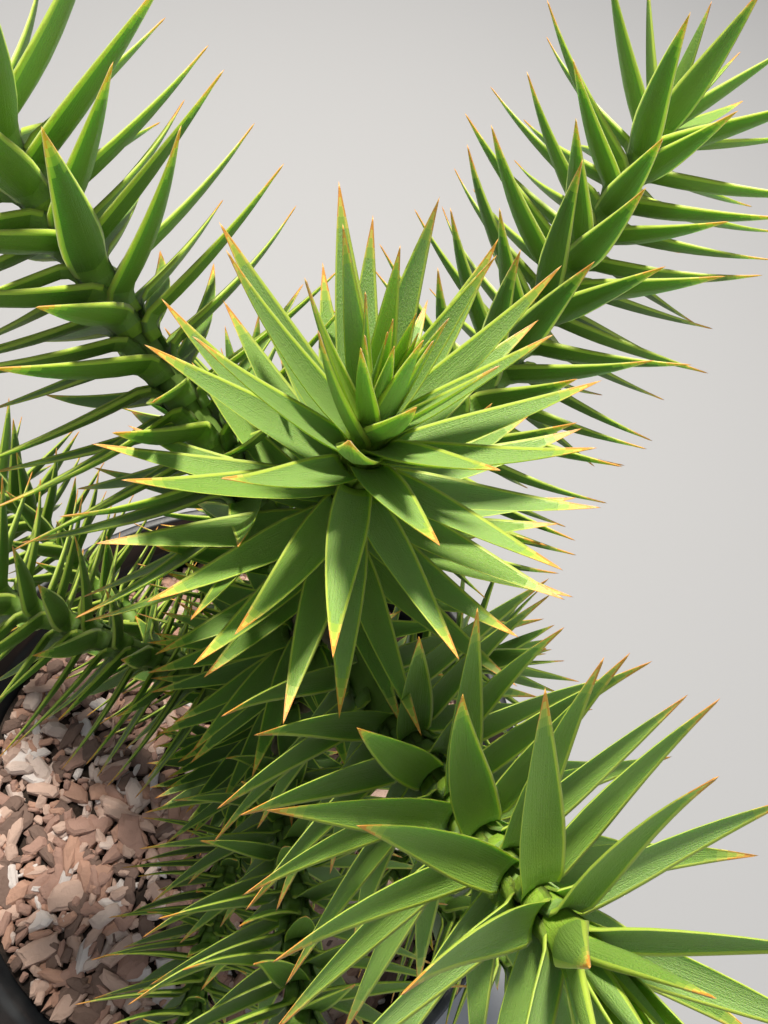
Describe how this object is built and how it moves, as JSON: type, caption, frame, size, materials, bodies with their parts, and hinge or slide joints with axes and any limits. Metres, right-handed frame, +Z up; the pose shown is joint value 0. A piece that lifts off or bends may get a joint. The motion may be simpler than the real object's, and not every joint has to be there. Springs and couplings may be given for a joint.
{
  "type": "young monkey puzzle tree in a nursery pot",
  "caption": "Young evergreen with whorls of shoots set round with stiff, sharp, overlapping leaves, standing in a round black pot topped with bark chips",
  "frame": {"origin": "centre of the pot's flat underside", "axes": "+Z up. +Y is the way the picture's camera looks across the plant, and +X is to the picture's right."},
  "size_m": [0.3229, 0.3363, 0.604],
  "materials": {
    "pot": "matt black, slightly worn",
    "potting_mix": "dark crumbly potting mix",
    "bark_chips": "dry reddish bark chips",
    "bark": "green-brown young bark",
    "foliage": "satin, leathery green leaves"
  },
  "bodies": {
    "root": {"pot": "pot", "potting_mix": "potting_mix", "bark_chips": "bark_chips", "trunk": "bark", "bough_low_1": "bark", "bough_low_2": "bark", "bough_low_3": "bark", "bough_low_4": "bark", "bough_middle_1": "bark", "bough_middle_2": "bark", "bough_middle_3": "bark", "bough_middle_4": "bark", "bough_top_1": "bark", "bough_top_2": "bark", "bough_top_3": "bark", "leaves_low_1": "foliage", "leaves_low_2": "foliage", "leaves_low_3": "foliage", "leaves_low_4": "foliage", "leaves_middle_1": "foliage", "leaves_middle_2": "foliage", "leaves_middle_3": "foliage", "leaves_middle_4": "foliage", "leaves_top_1": "foliage", "leaves_top_2": "foliage", "leaves_top_3": "foliage", "leaves_trunk_1": "foliage", "leaves_trunk_2": "foliage", "leaves_trunk_3": "foliage", "leaves_trunk_4": "foliage", "leaves_leader": "foliage"}
  },
  "joints": []
}
